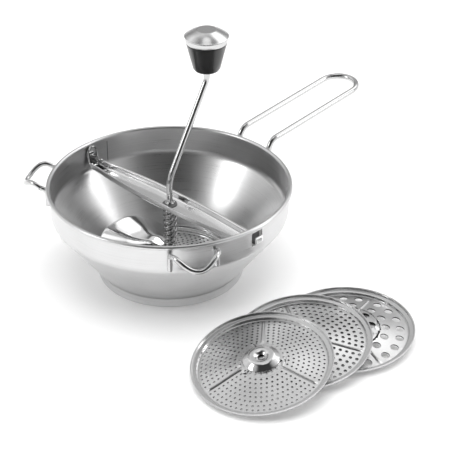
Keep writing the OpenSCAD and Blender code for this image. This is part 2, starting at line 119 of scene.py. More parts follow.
class Bench:
    """Hand tools: each one starts a mesh, shapes it with operators, or finishes it."""

    @staticmethod
    def clear() -> None:
        """Leaves edit mode and deselects everything."""
        if bpy.context.object and bpy.context.object.mode != "OBJECT":
            bpy.ops.object.mode_set(mode="OBJECT")
        bpy.ops.object.select_all(action="DESELECT")

    @staticmethod
    def only(obj: bpy.types.Object) -> bpy.types.Object:
        """Makes one object the only selected and the active one."""
        Bench.clear()
        obj.select_set(True)
        bpy.context.view_layer.objects.active = obj
        return obj

    @staticmethod
    def named(name: str) -> bpy.types.Object:
        """Names the object that was just added and returns it."""
        obj = bpy.context.object
        obj.name = name
        obj.data.name = name
        return obj

    @staticmethod
    def apply(obj: bpy.types.Object, kind: str, **settings: object) -> bpy.types.Object:
        """Adds a modifier and applies it.

        Args:
            obj: The piece.
            kind: Modifier type.
            **settings: Its properties.

        Returns:
            The piece.
        """
        Bench.only(obj)
        modifier = obj.modifiers.new(kind.title(), kind)
        for key, value in settings.items():
            setattr(modifier, key, value)
        bpy.ops.object.modifier_apply(modifier=modifier.name)
        return obj

    @staticmethod
    def tidy(obj: bpy.types.Object, gap: float = WELD_GAP) -> bpy.types.Object:
        """Merges doubles and turns the faces outwards.

        Args:
            obj: The piece.
            gap: Merge distance in millimetres.

        Returns:
            The piece.
        """
        Bench.only(obj)
        bpy.ops.object.mode_set(mode="EDIT")
        bpy.ops.mesh.select_all(action="SELECT")
        bpy.ops.mesh.remove_doubles(threshold=gap * MM)
        bpy.ops.mesh.normals_make_consistent(inside=False)
        bpy.ops.object.mode_set(mode="OBJECT")
        return obj

    @staticmethod
    def smooth(obj: bpy.types.Object, degrees: float = 32) -> bpy.types.Object:
        """Shades smooth across every edge flatter than an angle."""
        Bench.only(obj)
        bpy.ops.object.shade_smooth_by_angle(angle=math.radians(degrees))
        return obj

    @staticmethod
    def draw_ring(profile: Profile) -> None:
        """Draws the selected ring, centred on the vertical axis, along a profile in edit mode.

        Args:
            profile: Radius and height of each ring in millimetres, the drawn one first.
        """
        for (r0, z0), (r1, z1) in zip(profile, profile[1:]):
            bpy.ops.mesh.extrude_region_move(
                TRANSFORM_OT_translate={"value": (0, 0, (z1 - z0) * MM)})
            bpy.ops.transform.resize(
                value=(r1 / r0, r1 / r0, 1), center_override=(0, 0, z1 * MM))

    @staticmethod
    def turned(name: str, profile: Profile, steps: int = 64, ends: Ends = Ends.LOOP,
               centre: tuple[float, float] = (0, 0)) -> bpy.types.Object:
        """Turns a shape: a ring is added, then drawn along its profile.

        Args:
            name: Piece name.
            profile: Radius and height of each ring in millimetres.
            steps: Vertices round each ring.
            ends: How the shape is closed.
            centre: Where its axis stands.

        Returns:
            The turned piece, its place in its mesh.
        """
        Bench.clear()
        bpy.ops.mesh.primitive_circle_add(
            vertices=steps, radius=profile[0][0] * MM, location=(0, 0, profile[0][1] * MM))
        obj = Bench.named(name)
        bpy.ops.object.transform_apply()
        bpy.ops.object.mode_set(mode="EDIT")
        bpy.ops.mesh.select_all(action="SELECT")
        Bench.draw_ring([*profile, profile[0]] if ends is Ends.LOOP else profile)
        bpy.ops.mesh.select_all(action="SELECT")
        bpy.ops.mesh.remove_doubles(threshold=WELD_GAP * MM)
        if ends is Ends.CAPPED:
            bpy.ops.mesh.select_all(action="DESELECT")
            bpy.ops.mesh.select_non_manifold(extend=False)
            bpy.ops.mesh.fill_holes(sides=0)
            bpy.ops.mesh.select_all(action="SELECT")
        bpy.ops.mesh.normals_make_consistent(inside=False)
        bpy.ops.object.mode_set(mode="OBJECT")
        obj.data.transform(Matrix.Translation((centre[0] * MM, centre[1] * MM, 0)))
        return Bench.smooth(obj)

    @staticmethod
    def drawn(name: str, path: Path, radius: float, closed: bool = False,
              resolution: int = 4) -> bpy.types.Object:
        """Draws a round rod or wire along a path and makes it a mesh.

        Args:
            name: Piece name.
            path: Centre line in millimetres.
            radius: Rod radius in millimetres.
            closed: Whether the line joins up.
            resolution: Roundness of the section.

        Returns:
            The rod as a mesh.
        """
        Bench.clear()
        bpy.ops.curve.primitive_nurbs_path_add()
        obj = Bench.named(name)
        curve = obj.data
        curve.splines.clear()
        spline = curve.splines.new("POLY")
        spline.points.add(len(path) - 1)
        for point, place in zip(spline.points, path):
            point.co = (*(c * MM for c in place), 1)
        spline.use_cyclic_u = closed
        spline.use_smooth = True
        curve.dimensions = "3D"
        curve.twist_mode = "MINIMUM"
        curve.bevel_depth = radius * MM
        curve.bevel_resolution = resolution
        curve.use_fill_caps = not closed
        Bench.only(obj)
        bpy.ops.object.convert(target="MESH")
        return Bench.smooth(Bench.tidy(bpy.context.object), 50)

    @staticmethod
    def lofted(name: str, rows: Sequence[Path]) -> bpy.types.Object:
        """Shapes a grid into a sheet that passes through rows of points.

        Args:
            name: Piece name.
            rows: Rows of equally many points in millimetres.

        Returns:
            The open sheet.
        """
        Bench.clear()
        bpy.ops.mesh.primitive_grid_add(
            x_subdivisions=len(rows[0]) - 1, y_subdivisions=len(rows) - 1, size=2)
        obj = Bench.named(name)
        count = len(rows[0])
        if len(obj.data.vertices) != count * len(rows):
            raise ValueError(f"{name}: grid has {len(obj.data.vertices)} vertices")
        for vertex in obj.data.vertices:
            row, column = divmod(vertex.index, count)
            vertex.co = Vector(rows[row][column]) * MM
        return obj

    @staticmethod
    def cut(obj: bpy.types.Object, cutter: bpy.types.Object) -> bpy.types.Object:
        """Cuts one piece with another, which is then removed."""
        Bench.apply(obj, "BOOLEAN", operation="DIFFERENCE", solver="EXACT", object=cutter)
        bpy.data.objects.remove(cutter)
        return obj

    @staticmethod
    def block(size: Sequence[float], at: Sequence[float], round_by: float = 0) -> bpy.types.Object:
        """Adds a box, with bevelled edges if it has a rounding.

        Args:
            size: Lengths in millimetres.
            at: Centre in millimetres.
            round_by: Bevel width in millimetres.

        Returns:
            The box.
        """
        Bench.clear()
        bpy.ops.mesh.primitive_cube_add(size=1, location=[c * MM for c in at])
        obj = Bench.named("block")
        obj.scale = [s * MM for s in size]
        bpy.ops.object.transform_apply()
        if round_by:
            bpy.ops.object.mode_set(mode="EDIT")
            bpy.ops.mesh.select_all(action="SELECT")
            bpy.ops.mesh.bevel(offset=round_by * MM, segments=3)
            bpy.ops.object.mode_set(mode="OBJECT")
        return obj

    @staticmethod
    def joined(name: str, *pieces: bpy.types.Object) -> bpy.types.Object:
        """Joins pieces into the first one and names it."""
        Bench.clear()
        for piece in pieces:
            piece.select_set(True)
        bpy.context.view_layer.objects.active = pieces[0]
        bpy.ops.object.join()
        pieces[0].name = name
        pieces[0].data.name = name
        return pieces[0]


class Flow:
    """A shader value that adds Math nodes when it is used in arithmetic."""

    def __init__(self, bench: "NodeBench", socket: bpy.types.NodeSocket) -> None:
        """Keeps the tree's bench and the socket that carries the value."""
        self.bench = bench
        self.socket = socket

    def maths(self, operation: str, *others: "Flow | float") -> "Flow":
        """Adds one Math node whose first value is this one."""
        return self.bench.add("ShaderNodeMath", {"operation": operation}, {
            i: value for i, value in enumerate((self, *others))})

    def __add__(self, other: "Flow | float") -> "Flow":
        """Sum."""
        return self.maths("ADD", other)

    def __sub__(self, other: "Flow | float") -> "Flow":
        """Difference."""
        return self.maths("SUBTRACT", other)

    def __rsub__(self, other: float) -> "Flow":
        """A number less this value."""
        return (self * -1) + other

    def __mul__(self, other: "Flow | float") -> "Flow":
        """Product."""
        return self.maths("MULTIPLY", other)

    def __gt__(self, other: "Flow | float") -> "Flow":
        """1 where this value is the larger."""
        return self.maths("GREATER_THAN", other)

    def __pow__(self, other: float) -> "Flow":
        """Power."""
        return self.maths("POWER", other)

    def ramp(self, low: float, high: float, start: float = 0, stop: float = 1) -> "Flow":
        """Maps this value smoothly from low..high to start..stop."""
        return self.bench.add("ShaderNodeMapRange", {"interpolation_type": "SMOOTHSTEP"}, {
            "Value": self, "From Min": low, "From Max": high, "To Min": start, "To Max": stop})


class NodeBench:
    """A node tree and the short ways to fill it."""

    def __init__(self, tree: bpy.types.NodeTree, coordinates: str) -> None:
        """Empties the tree and splits its coordinates into x, y and z."""
        self.tree = tree
        tree.nodes.clear()
        self.place = self.add("ShaderNodeTexCoord", {}, {}, coordinates)
        split = tree.nodes.new("ShaderNodeSeparateXYZ")
        tree.links.new(self.place.socket, split.inputs[0])
        self.x, self.y, self.z = (Flow(self, split.outputs[i]) for i in range(3))

    def add(self, kind: str, settings: dict, values: dict, output: int | str = 0) -> Flow:
        """Adds a node.

        Args:
            kind: Node type.
            settings: Properties, set first.
            values: Numbers, colours or links of its sockets, by name or index.
            output: The output that is returned.

        Returns:
            The chosen output.
        """
        node = self.tree.nodes.new(kind)
        for key, value in settings.items():
            setattr(node, key, value)
        for key, value in values.items():
            self.feed(node.inputs[key], value)
        return Flow(self, node.outputs[output])

    def feed(self, socket: bpy.types.NodeSocket, value: object) -> None:
        """Links a flow to a socket, or sets the socket to a number or a colour."""
        if isinstance(value, Flow):
            self.tree.links.new(value.socket, socket)
        else:
            socket.default_value = value

    def vector(self, x: Flow | float, y: Flow | float, z: Flow | float) -> Flow:
        """Combines three values into a vector."""
        return self.add("ShaderNodeCombineXYZ", {}, {0: x, 1: y, 2: z})

    def noise(self, where: Flow, scale: float, detail: float = 3, rough: float = 0.55) -> Flow:
        """Adds a noise texture and returns its value."""
        return self.add("ShaderNodeTexNoise", {}, {
            "Vector": where, "Scale": scale, "Detail": detail, "Roughness": rough}, "Fac")

    def shade(self, factor: Flow | float, dark: Sequence[float], light: Sequence[float]) -> Flow:
        """Mixes two colours by a factor."""
        return self.add("ShaderNodeMix", {"data_type": "RGBA"}, {
            0: factor, 6: (*dark, 1), 7: (*light, 1)}, 2)

    def stain_and_shade(self, factor: Flow, base: Flow, tone: float) -> Flow:
        """Turns a colour into a flat grey by a factor: a real stain such as a weld seam, and
        painted shade on hole walls.
        """
        return self.add("ShaderNodeMix", {"data_type": "RGBA"}, {
            0: factor, 6: base, 7: (tone, tone, tone, 1)}, 2)


class ShaderBench(NodeBench):
    """One material's node tree, with its Principled shader."""

    def __init__(self, name: str) -> None:
        """Starts the material with its shader and its output."""
        self.material = bpy.data.materials.new(name)
        self.material.use_nodes = True
        super().__init__(self.material.node_tree, "Object")
        self.shader = self.tree.nodes.new("ShaderNodeBsdfPrincipled")
        output = self.tree.nodes.new("ShaderNodeOutputMaterial")
        self.tree.links.new(self.shader.outputs[0], output.inputs[0])

    def bump(self, height: Flow, strength: float, distance: float) -> Flow:
        """Adds a bump from a height; distance in millimetres."""
        return self.add("ShaderNodeBump", {}, {
            "Height": height, "Strength": strength, "Distance": distance * MM})

    def set(self, **values: object) -> bpy.types.Material:
        """Sets or links the shader's sockets, underscores standing for spaces."""
        for key, value in values.items():
            self.feed(self.shader.inputs[key.replace("_", " ")], value)
        return self.material


@dataclass(frozen=True)
class MetalFinish:
    """A worked metal: its tone, its gloss, and the marks that polishing left.

    Attributes:
        name: Material name.
        slot: Slot of the record that it fills.
        tone: Light tone of the metal.
        depth: How much darker the marks go.
        gloss: Roughness of its brightest and dullest spots.
        grain: Direction of the marks.
        fine: Marks per metre across the grain.
        relief: Bump strength of the marks.
        flow: How stretched the marks are.
        seam_at: Direction of a weld seam in degrees, if it has one.
        polished_rims_shaded_holes: Whether its pieces carry the attribute of rims and of hole
            walls, painted dark as shade.
    """

    name: str
    slot: str
    tone: float
    depth: float
    gloss: tuple[float, float]
    grain: Grain
    fine: float = 900
    relief: float = 0.12
    flow: float = 12
    seam_at: float | None = None
    polished_rims_shaded_holes: bool = False

    def grain_vector(self, work: ShaderBench) -> Flow:
        """Coordinates in which the marks of this grain are even."""
        if self.grain is Grain.TURNED:
            radius = (work.x * work.x + work.y * work.y) ** 0.5
            along = radius * 0.62 + work.z * 0.78
            return work.vector(work.x * self.flow, work.y * self.flow, along * self.fine)
        if self.grain is Grain.LENGTHWISE:
            return work.vector(work.x * self.fine, work.y * self.flow, work.z * self.fine)
        return work.vector(work.x * self.fine * 0.6, work.y * self.fine * 0.6, work.z * self.flow)

    def make(self) -> bpy.types.Material:
        """Builds the material."""
        work = ShaderBench(self.name)
        where = self.grain_vector(work)
        marks = work.noise(where, 1.0, 4, 0.6)
        cloud = work.noise(work.place, 38, 2, 0.5)
        specks = work.noise(work.place, 900, 2, 0.5).ramp(0.62, 0.78)
        mix = (marks * 0.7 + cloud * 0.3).ramp(0.25, 0.75)
        shade = work.shade(mix, [self.tone * (1 - self.depth)] * 3,
                           [self.tone, self.tone, self.tone * 1.004])
        rough = mix * (self.gloss[1] - self.gloss[0]) + self.gloss[0] + specks * 0.05
        height = marks
        if self.polished_rims_shaded_holes:
            polish_and_shade_zone = work.add("ShaderNodeAttribute", {"attribute_name": "polish_and_shade_zone"}, {}, "Fac")
            wall = polish_and_shade_zone.ramp(1.4, 1.6)
            rim = polish_and_shade_zone.ramp(0.4, 0.6) * (1 - wall)
            # Painted shade: the hole walls are turned near-black to stand in for the shade inside
            # the holes.
            shade = work.stain_and_shade(wall, shade, 0.03)
            rough = rough - rim * 0.2 + wall * 0.2
        if self.seam_at is not None:
            a = math.radians(self.seam_at)
            across = (work.y * math.cos(a) - work.x * math.sin(a)).maths("ABSOLUTE")
            ahead = (work.x * math.cos(a) + work.y * math.sin(a)) > 0
            seam = across.ramp(0.00018, 0.0007, 1, 0) * ahead * work.z.ramp(0.069, 0.0715)
            seam = seam * work.z.ramp(0.0925, 0.0935, 1, 0)
            shade = work.stain_and_shade(seam * 0.8, shade, 0.12)
            rough = rough + seam * 0.25
            height = marks + seam * 4
        return work.set(
            Base_Color=shade, Metallic=1.0, Roughness=rough,
            Normal=work.bump(height, self.relief, 0.05))


@dataclass(frozen=True)
class PlasticFinish:
    """A moulded plastic.

    Attributes:
        name: Material name.
        slot: Slot of the record that it fills.
        tone: Its tone.
        gloss: Roughness.
        coat: Weight of the clear gloss on it.
    """

    name: str
    slot: str
    tone: float
    gloss: float
    coat: float

    def make(self) -> bpy.types.Material:
        """Builds the material."""
        work = ShaderBench(self.name)
        flow = work.noise(work.place, 60, 3)
        pits = work.noise(work.place, 1400, 2)
        scuff = work.noise(work.vector(work.x * 300, work.y * 300, work.z * 2600), 1, 2)
        scuff = scuff.ramp(0.63, 0.8)
        return work.set(
            Base_Color=work.shade(flow, [self.tone * 0.7] * 3, [self.tone * 1.3] * 3),
            Roughness=flow * 0.07 + scuff * 0.12 + self.gloss,
            Coat_Weight=self.coat, Coat_Roughness=0.08, IOR=1.5,
            Normal=work.bump(pits + scuff * 0.6, 0.05, 0.05))


@dataclass(frozen=True)
class Finishes:
    """Every finish on the food mill."""

    bowl: MetalFinish = MetalFinish(
        "brushed_bowl_steel", "bowl_steel", 0.72, 0.12, (0.26, 0.36), Grain.TURNED,
        2600, 0.09, 4, 79.3)
    rod: MetalFinish = MetalFinish(
        "polished_rod", "rod_chrome", 0.62, 0.1, (0.12, 0.2), Grain.DRAWN, 700, 0.02, 60)
    bar: MetalFinish = MetalFinish(
        "drawn_bar_steel", "bar_steel", 0.88, 0.10, (0.1, 0.18), Grain.LENGTHWISE, 1600, 0.03, 14)
    spring: MetalFinish = MetalFinish(
        "spring_wire", "spring_steel", 0.42, 0.3, (0.1, 0.18), Grain.DRAWN, 800, 0.05, 90)
    blade: MetalFinish = MetalFinish(
        "mirror_blade", "blade_steel", 0.90, 0.05, (0.06, 0.13), Grain.LENGTHWISE, 500, 0.03, 20)
    cap: MetalFinish = MetalFinish(
        "chrome_cap", "cap_chrome", 0.66, 0.04, (0.17, 0.25), Grain.TURNED, 700, 0.02, 30)
    disc: MetalFinish = MetalFinish(
        "pressed_disc_steel", "disc_steel", 0.74, 0.1, (0.27, 0.36), Grain.DRAWN, 900, 0.03, 500,
        polished_rims_shaded_holes=True)
    knob: PlasticFinish = PlasticFinish("black_knob", "knob_plastic", 0.008, 0.26, 0.3)
    bushing: PlasticFinish = PlasticFinish("bushing_nylon", "bushing_plastic", 0.09, 0.38, 0.1)

    def all(self) -> list[MetalFinish | PlasticFinish]:
        """Every finish in a list."""
        return [self.bowl, self.rod, self.bar, self.spring, self.blade, self.cap, self.disc,
                self.knob, self.bushing]


class Wardrobe:
    """Makes each finish once and dresses pieces and carried-over nodes with it."""

    def __init__(self, finishes: Finishes) -> None:
        """Builds the materials, by slot name."""
        self.by_slot = {finish.slot: finish.make() for finish in finishes.all()}

    def dress(self, piece: bpy.types.Object, slot: str, body: str,
              *nodes: str) -> bpy.types.Object:
        """Gives a piece its finish, its body and the nodes that it stands for.

        Args:
            piece: The finished piece.
            slot: Slot of the record.
            body: Body that it rides on.
            *nodes: CAD nodes that it replaces.

        Returns:
            The piece.
        """
        piece.data.materials.clear()
        piece.data.materials.append(self.by_slot[slot])
        for polygon in piece.data.polygons:
            polygon.material_index = 0
        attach(piece, body)
        if nodes:
            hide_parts(*nodes)
        LOG.info("%s: %d faces, rides on %s", piece.name, len(piece.data.polygons), body)
        return piece

    def carry_over(self) -> None:
        """Gives every CAD node that still shows the finish of its own slot."""
        slots = node_slots()
        for name, node in frame["nodes"].items():
            for material_slot in node.material_slots:
                material_slot.material = self.by_slot[slots[name]]


def node_slots() -> dict[str, str]:
    """Slot of each CAD node, as the record gives it."""
    return {part["node"]: part["material_slot"] for part in frame["record"]["subparts"]}


@dataclass
class Bowl:
    """Bowl shell with its rolled rim, its foot, its window and its latch hole.

    Attributes:
        rim_r: Outer radius over the rim.
        height: Height of the rim.
        crease_h: Height at which the band meets the cone.
        wall: Sheet thickness.
        bead_r: Radius of the rolled rim.
        shoulder_r: Radius of the bend at the crease.
        foot_r: Outer radius of the foot.
        foot_h: Height of the foot.
        seat_low: Height of the cone's lower end.
        window: Width and height of the window.
        window_z: Lower edge of the window.
        latch_hole: Radius and height of the latch hole.
        steps: Vertices round the bowl.
    """

    rim_r: float = 120
    height: float = 98
    crease_h: float = 68.4
    wall: float = 1
    bead_r: float = 2.2
    shoulder_r: float = 14
    foot_r: float = 72.38
    foot_h: float = 9.5
    seat_low: float = 2.8
    window: tuple[float, float] = (14, 14)
    window_z: float = 77
    latch_hole: tuple[float, float] = (2.6, 83)
    steps: int = 192

    def build(self, wardrobe: Wardrobe) -> None:
        """Makes the shell and the foot."""
        band_out = self.rim_r - 2 * self.bead_r + self.wall
        slope = math.atan2(band_out - self.foot_r, self.crease_h - self.foot_h)
        slope_deg = math.degrees(slope)
        low_r = self.foot_r - (self.foot_h - self.seat_low) * math.tan(slope)
        slant = self.wall / math.cos(slope)
        shoulder = (band_out - self.shoulder_r,
                    self.crease_h + self.shoulder_r * math.tan(slope / 2))
        bead = (self.rim_r - self.bead_r, self.height - self.bead_r)
        cone = [(low_r + (self.foot_r - low_r) * t + (band_out - self.foot_r) * 0.86 * u,
                 self.seat_low + (self.foot_h - self.seat_low) * t
                 + (self.crease_h - self.foot_h) * 0.86 * u)
                for t, u in ((0, 0), (1, 0), (1, 0.25), (1, 0.5), (1, 0.75))]
        outer = cone + arc(shoulder, self.shoulder_r, -slope_deg, 0, 8)
        outer += [(band_out, bead[1] - 8), (band_out, bead[1] - 4.5)]
        roll = arc(bead, self.bead_r, -118, 180, 18)
        inner = [(band_out - self.wall, bead[1] - 3), (band_out - self.wall, bead[1] - 10)]
        inner += arc(shoulder, self.shoulder_r - self.wall, 0, -slope_deg, 8)
        inner += [(r - slant, z) for r, z in reversed(cone)]
        shell = Bench.turned("bowl_wall", outer + roll + inner, self.steps)
        middle = self.window_z + self.window[1] / 2
        Bench.cut(shell, Bench.block((self.window[0], 14, self.window[1]),
                                     (0, -band_out, middle), 1.0))
        Bench.clear()
        bpy.ops.mesh.primitive_cylinder_add(
            vertices=32, radius=self.latch_hole[0] * MM, depth=8 * MM,
            location=(0, band_out * MM, self.latch_hole[1] * MM), rotation=(math.pi / 2, 0, 0))
        cutter = Bench.named("latch_cutter")
        bpy.ops.object.transform_apply()
        Bench.cut(shell, cutter)
        Bench.smooth(shell, 30)
        wardrobe.dress(shell, "bowl_steel", "bowl", "bowl_shell")
        wardrobe.dress(self.foot(), "bowl_steel", "bowl", "foot_ring")

    def foot(self) -> bpy.types.Object:
        """Turns the foot: a collar with a folded lower edge."""
        r, h, t = self.foot_r, self.foot_h, 1.2
        outside = [(r - 3.6, 0), (r - 1.1, 0), (r - 0.35, 0.25), (r, 0.9), (r, 1.6),
                   (r - 0.22, 2.0), (r - 0.25, 5), (r - 0.2, h - 1), (r + 0.2, h)]
        inside = [(r - t - 0.5, h - 1.2), (r - t - 0.5, 2.4), (r - 2.2, 1.5), (r - 4.2, 1.3),
                  (r - 4.2, 0.3)]
        return Bench.turned("bowl_foot", outside + inside, self.steps)


@dataclass
class Handle:
    """Long wire handle: two rods that leave the band and meet in a half round.

    Attributes:
        rim_r: Outer radius of the rim.
        rod_r: Rod radius.
        span: Distance between the rods.
        reach: Reach beyond the rim.
        rise: Rise in degrees.
        bend: Axis radius of the bend at the bowl.
        low: Height of the welded ends.
        up: Height at which the bends start.
    """

    rim_r: float = 120
    rod_r: float = 3
    span: float = 40
    reach: float = 155
    rise: float = 4.7
    bend: float = 12
    low: float = 73.4
    up: float = 92

    def centre_line(self) -> list[tuple[float, float, float]]:
        """Centre line from one welded end to the other."""
        half = self.span / 2
        x0 = math.sqrt((self.rim_r + self.rod_r + 0.02) ** 2 - half ** 2)
        slope = math.radians(self.rise)
        x_end = self.rim_r + self.reach - self.rod_r

        def height(x: float) -> float:
            """Height of the straight run at x."""
            return (self.up + self.bend * math.cos(slope)
                    + (x - x0 - self.bend * (1 - math.sin(slope))) * math.tan(slope))

        side = [(x0, self.low)] + arc((x0 + self.bend, self.up), self.bend, 180,
                                      90 + self.rise, 12)
        far = [(x, half, z) for x, z in side]
        turn = []
        for i in range(33):
            a = math.radians(90 - 180 * i / 32)
            x = x_end - half + half * math.cos(a)
            turn.append((x, half * math.sin(a), height(x)))
        near = [(x, -half, z) for x, z in reversed(side)]
        return far + turn + near

    def build(self, wardrobe: Wardrobe) -> None:
        """Makes the handle rod."""
        rod = Bench.drawn("handle_rod", self.centre_line(), self.rod_r, resolution=6)
        wardrobe.dress(rod, "rod_chrome", "bowl", "handle_loop")


@dataclass
class PotHook:
    """Wire loop that rests on the rim of a pot.

    Attributes:
        name: Piece name.
        node: CAD node that it replaces.
        turn: Direction in degrees.
        band_r: Outer radius of the band.
        wire_r: Wire radius.
        span: Distance between the legs.
        reach: Reach beyond the band.
        low: Height of the welded ends.
        neck: Height at which the bends start.
        bend: Axis radius of the bends.
    """

    name: str
    node: str
    turn: float
    band_r: float = 116.6
    wire_r: float = 2.5
    span: float = 44
    reach: float = 28
    low: float = 72.4
    neck: float = 84.8
    bend: float = 6

    def centre_line(self) -> list[tuple[float, float, float]]:
        """Centre line from one leg to the other, turned to its place."""
        half = self.span / 2
        x0 = math.sqrt((self.band_r + self.wire_r + 0.02) ** 2 - half ** 2)
        x_end = self.band_r + self.reach
        start = x0 + self.bend

        def height(x: float) -> float:
            """Height of the loop at x."""
            u = (x - start) / (x_end - start)
            return self.neck + self.bend + 6 * math.sin(math.radians(150 * u)) - 8.5 * u * u

        side = [(x0, self.low)]
        side += [(x0 + self.bend * (1 - math.cos(a)), self.neck + self.bend * math.sin(a))
                 for a in (math.radians(9 * i) for i in range(11))]
        run = x_end - half - start
        side += [(start + run * i / 4, height(start + run * i / 4)) for i in (1, 2, 3)]
        loop = []
        for i in range(41):
            a = math.radians(90 - 4.5 * i)
            x = x_end - half + half * math.cos(a)
            loop.append((x, half * math.sin(a), height(x)))
        flat = [(x, half, z) for x, z in side] + loop + [(x, -half, z) for x, z in reversed(side)]
        turn = Matrix.Rotation(math.radians(self.turn), 3, "Z")
        return [tuple(turn @ Vector(point)) for point in flat]

    def build(self, wardrobe: Wardrobe) -> None:
        """Makes the hook."""
        wire = Bench.drawn(self.name, self.centre_line(), self.wire_r, resolution=5)
        wardrobe.dress(wire, "rod_chrome", "bowl", self.node)


@dataclass
class CrossBar:
    """Folded cross bar: channel with rolled lips, scooped finger tab, and a hooked tongue.

    Attributes:
        half_w: Half width at the shaft.
        end_half_w: Half width at the ends.
        floor: Height of the upper face of the floor.
        flange: Height of the flanges above it.
        sheet: Sheet thickness.
        end: Inner face of the finger tab.
        step: Where the flanges stop at the tongue's end.
        tab_top: Height of the tab's top.
        tab_half: Half width of the tab's face.
        tab_bend: Radius of the bend up to the tab.
        nose_hole: Size of the hole in the tab for the latch's nose.
        nose_z: Height of that hole's middle.
        tongue_half: Half width of the tongue, and of its last edge.
        shade_plate_size: Size of the dark plate behind the window, a sheet that stands in for the
            shade there.
        shade_plate_at: Centre of that plate.
    """

    half_w: float = 12.5
    end_half_w: float = 7.5
    floor: float = 73.2
    flange: float = 6.8
    sheet: float = 1.2
    end: float = 113.4
    step: float = 108.8
    tab_top: float = 94.6
    tab_half: float = 5.2
    tab_bend: float = 6
    nose_hole: tuple[float, float, float] = (5, 8, 5)
    nose_z: float = 82
    tongue_half: tuple[float, float] = (4.7, 4.2)
    shade_plate_size: tuple[float, float, float] = (13, 1.6, 10)
    shade_plate_at: tuple[float, float, float] = (0, -112.6, 84)

    def section(self, half: float, flange: float, lip: float) -> list[tuple[float, float]]:
        """Cross section from lip to lip: sideways place and height above the floor."""
        fold = min(2.0, half * 0.6, flange * 0.5)
        curl = min(1.3, flange * 0.35)
        side = arc((half - fold, fold), fold, -90, 0, 4)
        side += [(half, fold + (flange - curl - fold) * 0.5)]
        side += arc((half + curl, flange - curl), curl, 180, 95, 4)
        side += [(half + curl + lip, flange)]
        left = [(-x, z) for x, z in reversed(side)]
        return left + [(-half * 0.4, 0), (0, 0), (half * 0.4, 0)] + side

    def half_at(self, y: float) -> float:
        """Inside half width of the channel at y."""
        share = min(1.0, max(0.0, (abs(y) - 30) / (self.step - 30)))
        ease = share - 0.06 * math.sin(2 * math.pi * share)
        return self.half_w + (self.end_half_w - self.half_w) * ease - self.sheet

    def stations(self) -> list[tuple[float, float, float, float, float, float]]:
        """Stations along the floor: y, z, tilt in degrees, half width, flange and lip."""
        rows = []
        straight = self.end - self.tab_bend
        for i in range(49):
            y = -self.step + (straight + self.step) * i / 48
            near_tab = eased(straight - 26, straight, y)
            near_step = eased(-self.step, -self.step + 9, y)
            half = self.half_at(y) * (1 - near_tab) + self.tab_half * near_tab
            flange = self.flange * (0.62 + 0.38 * near_step)
            rows.append((y, self.floor, 0.0, half, flange, 1.0 - 0.5 * near_tab))
        for y, z in arc((straight, self.floor + self.tab_bend), self.tab_bend, -90, 0, 8)[1:]:
            share = (z - self.floor) / self.tab_bend
            tilt = math.degrees(math.acos(max(-1, min(1, 1 - share))))
            rows.append((y, z, tilt, self.tab_half, self.flange - 3.4 * share,
                         0.5 - 0.3 * share))
        low = self.floor + self.tab_bend
        crown = self.tab_top - self.tab_half - 1
        for i in range(1, 4):
            z = low + (crown - low) * i / 3
            rows.append((self.end, z, 90.0, self.tab_half, 3.4 - 0.5 * i, 0.2))
        for i in range(1, 9):
            a = math.radians(90 * i / 8)
            z = crown + (self.tab_half + 1) * math.sin(a) * 0.985
            half = max(0.5, self.tab_half * math.cos(a) ** 0.9)
            rows.append((self.end, z, 90.0, half, 1.9 - 0.06 * i, 0.2))
        return rows

    def channel(self) -> bpy.types.Object:
        """Lofts the channel and its tab, then gives them their thickness."""
        rows = []
        for y, z, tilt, half, flange, lip in self.stations():
            t = math.radians(tilt)
            rows.append([(x, y - up * math.sin(t), z + up * math.cos(t))
                         for x, up in self.section(half, flange, lip)])
        bar = Bench.lofted("cross_bar_channel", rows)
        Bench.apply(bar, "SOLIDIFY", thickness=self.sheet * MM, offset=-1, use_even_offset=True)
        Bench.tidy(bar)
        Bench.cut(bar, Bench.block(self.nose_hole, (0, self.end, self.nose_z)))
        return bar

    def tongue(self) -> bpy.types.Object:
        """Makes the stepped tongue with its upturned lip."""
        line = [(-99.0, 73.0), (-105.5, 73.0)] + arc((-106, 75.2), 2.2, -95, -150, 4)
        line += arc((-111.6, 76.2), 3, 20, 90, 4) + [(-114.5, 79.2)]
        line += arc((-117.0, 80.6), 1.4, -90, -180, 4) + [(-118.4, 84), (-118.4, 86.6)]
        rows = []
        for i, (y, z) in enumerate(line):
            half = self.tongue_half[i == len(line) - 1]
            rows.append([(x * half, y, z) for x in (-1, -0.6, 0, 0.6, 1)])
        strip = Bench.lofted("cross_bar_tongue", list(reversed(rows)))
        Bench.apply(strip, "SOLIDIFY", thickness=self.sheet * MM, offset=-1)
        return Bench.tidy(strip)

    def build(self, wardrobe: Wardrobe) -> None:
        """Makes the bar, its bushing, a dark plate behind the window that stands in for shade, and
        the domed rivet of its latch.
        """
        bar = Bench.joined("cross_bar_sheet", self.channel(), self.tongue())
        Bench.apply(bar, "BEVEL", width=0.22 * MM, segments=2, limit_method="ANGLE",
                    angle_limit=math.radians(50))
        Bench.smooth(bar, 40)
        wardrobe.dress(bar, "bar_steel", "bar", "cross_bar")
        bush = [(3.05, 72), (5.5, 72), (5.5, 73.2), (7.2, 73.2), (7.5, 73.5), (7.3, 74.0),
                (6.2, 74.3), (3.4, 74.3), (3.05, 74.0)]
        wardrobe.dress(Bench.turned("bar_bushing", bush), "bushing_plastic", "bar",
                       "shaft_bushing")
